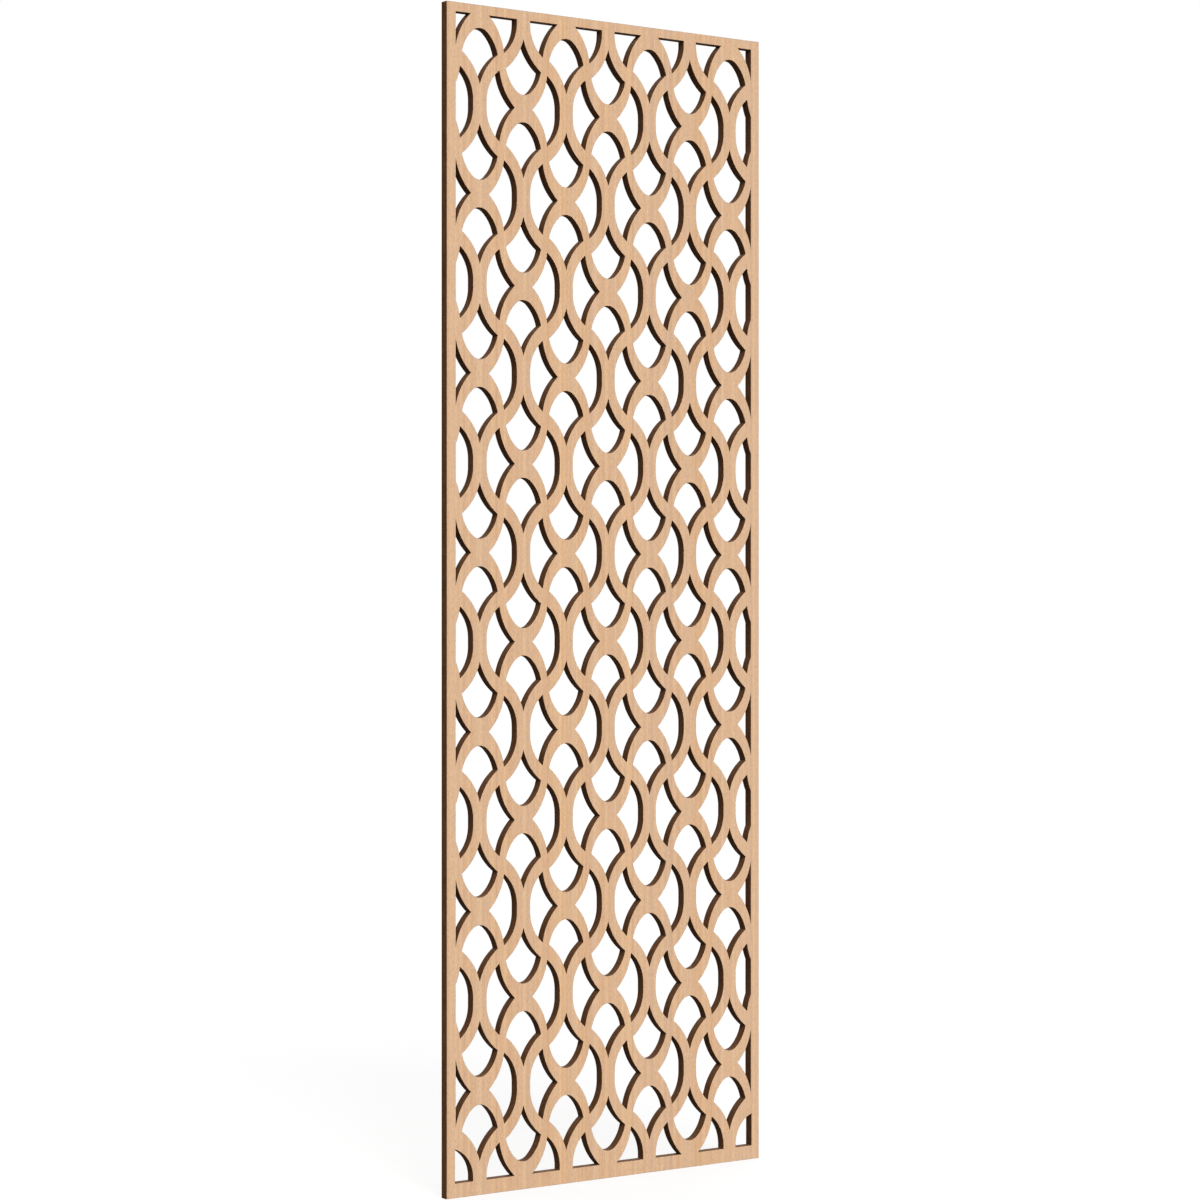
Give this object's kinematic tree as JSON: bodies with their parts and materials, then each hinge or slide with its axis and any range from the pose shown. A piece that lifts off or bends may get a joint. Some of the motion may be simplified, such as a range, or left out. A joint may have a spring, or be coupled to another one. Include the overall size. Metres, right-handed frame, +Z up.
{
  "type": "fretwork wood panel",
  "caption": "Tall thin plywood panel cut through with crossing ogee strands inside a narrow plain rim, for filling a screen or divider frame.",
  "frame": {"origin": "middle of the bottom edge, halfway through the thickness", "axes": "+Z up along the face grain, +X along the width, -Y out of the front face, +Y out of the back face"},
  "size_m": [0.3906, 0.0094, 1.181],
  "materials": {
    "face_veneer": "fine straight-grained veneer, sanded and left matt, cut edges charred dark brown",
    "crossband": "plain veneer, seen only as a charred dark brown cut edge",
    "core": "plain veneer, seen only as a charred dark brown cut edge"
  },
  "bodies": {
    "root": {"front_veneer": "face_veneer", "front_crossband": "crossband", "core_ply": "core", "back_crossband": "crossband", "back_veneer": "face_veneer"}
  },
  "joints": []
}
